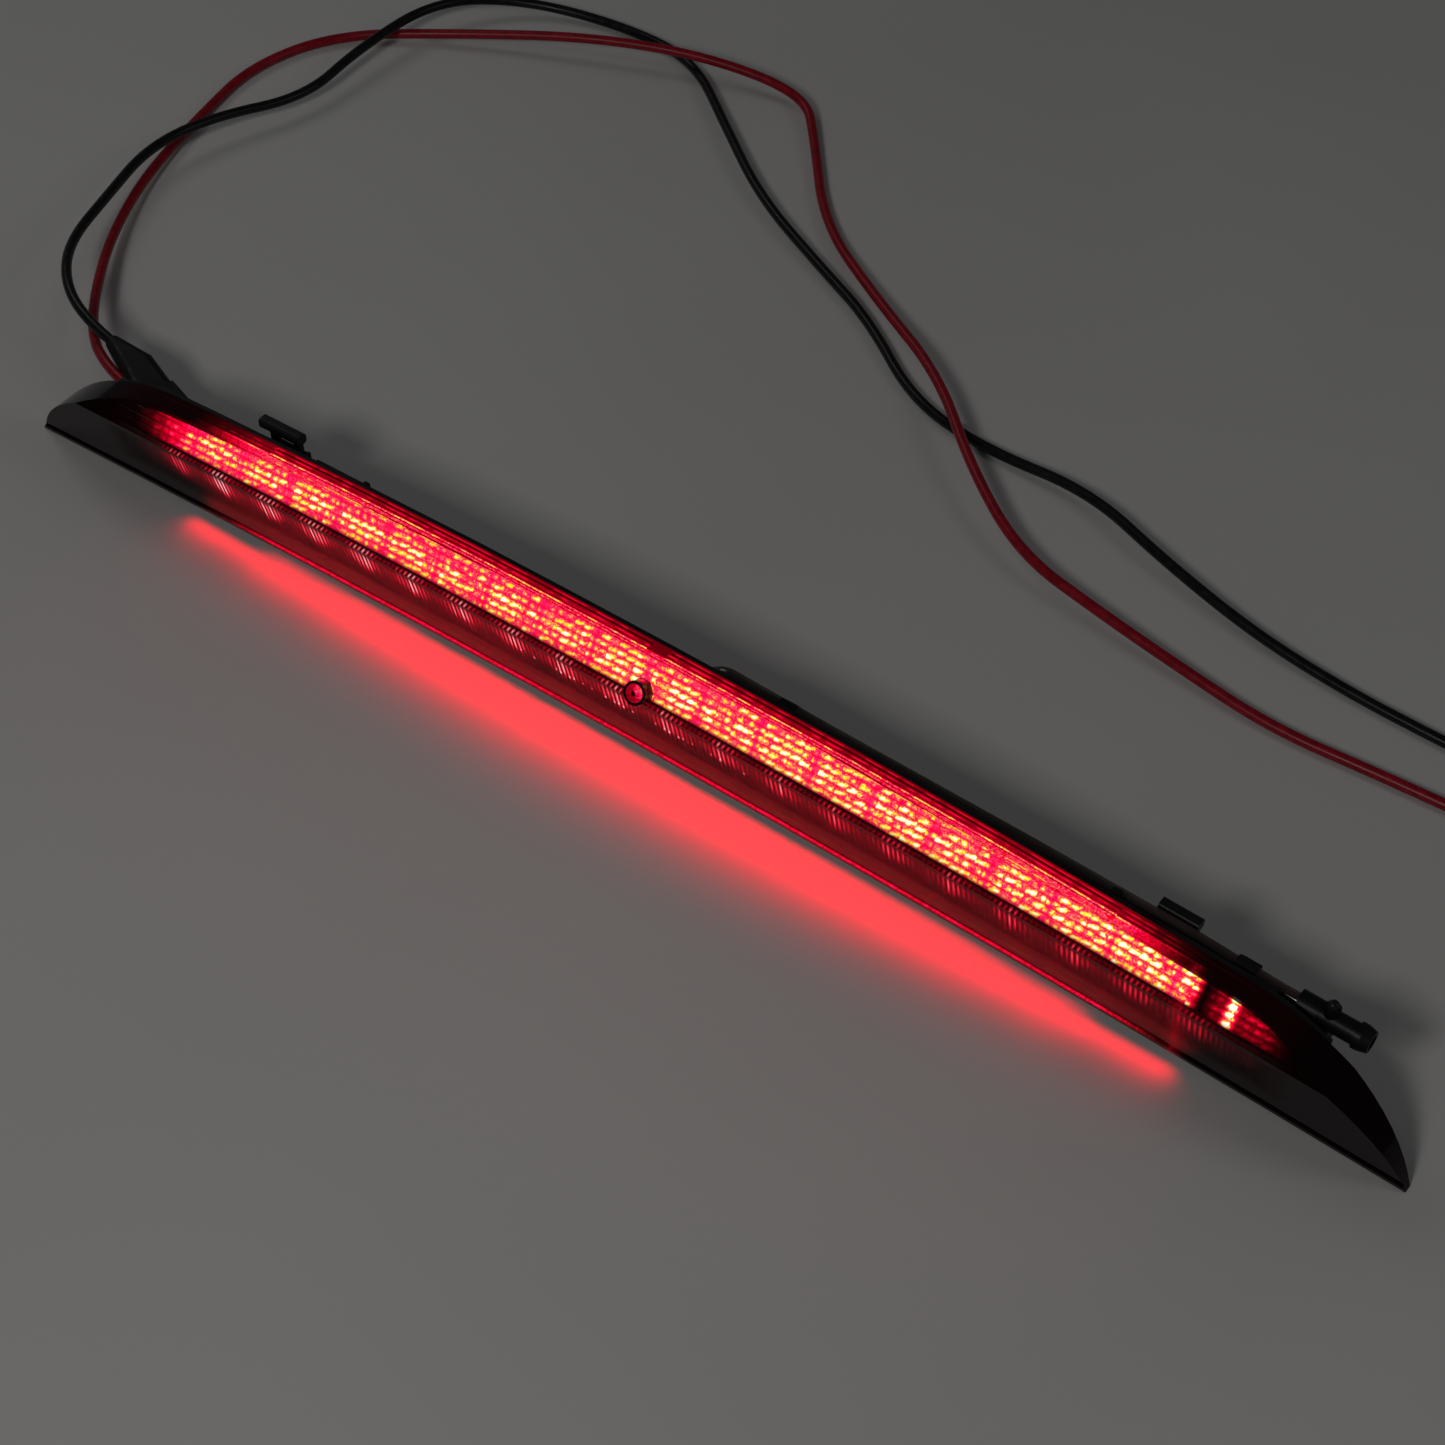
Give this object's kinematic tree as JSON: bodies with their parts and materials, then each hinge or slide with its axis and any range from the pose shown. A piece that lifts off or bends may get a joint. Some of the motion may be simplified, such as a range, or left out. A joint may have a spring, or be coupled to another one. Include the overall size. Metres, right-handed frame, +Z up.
{
  "type": "third brake light",
  "caption": "Long bowed high-level brake lamp with smoked red lens, pillow optics, rear washer jet and hose with quick coupling, spring clips, socket, plug and two loose supply wires.",
  "frame": {"origin": "middle of the footprint of the lamp without its loose wires, on the surface that its lower lens tips and rear feet stand on", "axes": "+X along the lamp to its washer-coupling end, -Y the way the lens faces, +Z up"},
  "size_m": [0.509, 0.2524, 0.0392],
  "materials": {
    "smoked_lens": "glossy smoked red",
    "clear_optic": "glossy",
    "white_reflector": "satin",
    "circuit_board": "matte",
    "lamp_chip": "satin",
    "resistor_body": "matte",
    "screw_steel": "bright",
    "housing_black": "fine grain",
    "clip_black": "satin",
    "coupling_black": "glossy",
    "jet_black": "glossy",
    "hose_smoke": "glossy",
    "seal_rubber": "matte",
    "boot_rubber": "satin",
    "spring_steel": "bright",
    "terminal_brass": "bright",
    "red_insulation": "satin",
    "black_insulation": "satin"
  },
  "bodies": {
    "lamp": {"outer_lens": "smoked_lens", "inner_optic": "clear_optic", "lower_optic": "clear_optic", "light_box": "white_reflector", "led_board": "circuit_board", "leds": "lamp_chip", "resistors": "resistor_body", "board_screws": "screw_steel", "board_header": "white_reflector", "inner_leads": "red_insulation", "rear_housing": "housing_black", "seal_bead": "seal_rubber", "nozzle_body": "jet_black", "nozzle_seal": "seal_rubber", "washer_hose": "hose_smoke", "hose_clips": "clip_black", "coupling_body": "coupling_black", "coupling_seal": "seal_rubber", "button_spring": "spring_steel", "socket_pins": "terminal_brass", "plug_body": "housing_black", "terminals": "terminal_brass", "plug_boot": "boot_rubber", "boot_leads": "black_insulation", "black_wire": "black_insulation", "red_wire": "red_insulation", "black_coil": "black_insulation", "red_coil": "red_insulation", "black_connector": "black_insulation", "red_connector": "red_insulation"},
    "jet": {"jet_ball": "jet_black"},
    "left_spring_clip": {"left_clip": "clip_black"},
    "right_spring_clip": {"right_clip": "clip_black"},
    "button": {"release_button": "coupling_black"},
    "latch": {"plug_latch": "clip_black"}
  },
  "joints": [
    {"name": "jet_aim", "type": "hinge", "parent": "lamp", "child": "jet", "pos_m": [0, -0.00884, 0.02856], "axis": [1, 0, 0], "range_deg": [-12, 12]},
    {"name": "left_clip_flex", "type": "hinge", "parent": "lamp", "child": "left_spring_clip", "pos_m": [-0.13058, 0.00829, 0.02369], "axis": [-0.9994, 0, -0.0353], "range_deg": [0, 10], "stiffness_Nm_per_rad": 0.3, "springref_deg": -1.15},
    {"name": "right_clip_flex", "type": "hinge", "parent": "lamp", "child": "right_spring_clip", "pos_m": [0.14002, 0.00829, 0.02335], "axis": [-0.9993, 0, 0.0379], "range_deg": [0, 10], "stiffness_Nm_per_rad": 0.3, "springref_deg": -1.15},
    {"name": "button_press", "type": "slide", "parent": "lamp", "child": "button", "axis": [-0.0332, 0, -0.9995], "range_m": [0, 0.0006], "stiffness_N_per_m": 800, "springref_m": -0.0005, "deforming": ["button_spring"]},
    {"name": "latch_lift", "type": "hinge", "parent": "lamp", "child": "latch", "pos_m": [-0.17849, 0.00915, 0.0161], "axis": [-0.309, -0.9511, 0], "range_deg": [0, 8], "stiffness_Nm_per_rad": 0.15, "springref_deg": -1.15}
  ]
}
